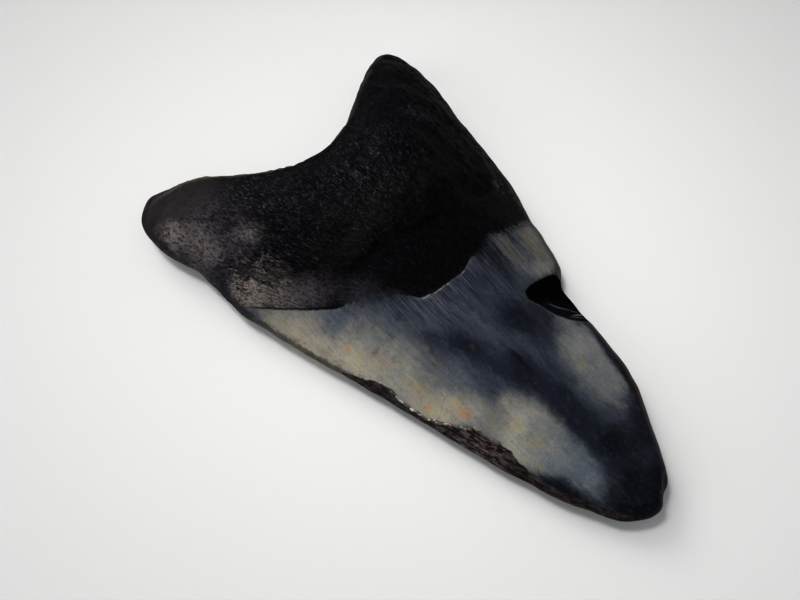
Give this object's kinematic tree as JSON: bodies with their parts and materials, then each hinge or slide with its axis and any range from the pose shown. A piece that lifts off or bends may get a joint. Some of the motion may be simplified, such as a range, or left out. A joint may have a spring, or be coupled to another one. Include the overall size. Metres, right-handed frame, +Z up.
{
  "type": "fossil shark tooth",
  "caption": "Large fossil shark tooth lying on its outer face: dark two-lobed root, slate enamel crown narrowing to a blunt tip, chipped along both edges.",
  "frame": {"origin": "on the surface the tooth lies on, under the middle of its bounding box", "axes": "+Z up, out of the inner (lingual) face; +Y from the crown's tip to the root; +X to the right seen from above with the root at the top"},
  "size_m": [0.0808, 0.1288, 0.0225],
  "materials": {
    "fossil": "black mineralised bone and neck band, slate to cream enamel with a satin polish, rough dark broken edges"
  },
  "bodies": {
    "root": {"tooth": "fossil"}
  },
  "joints": []
}
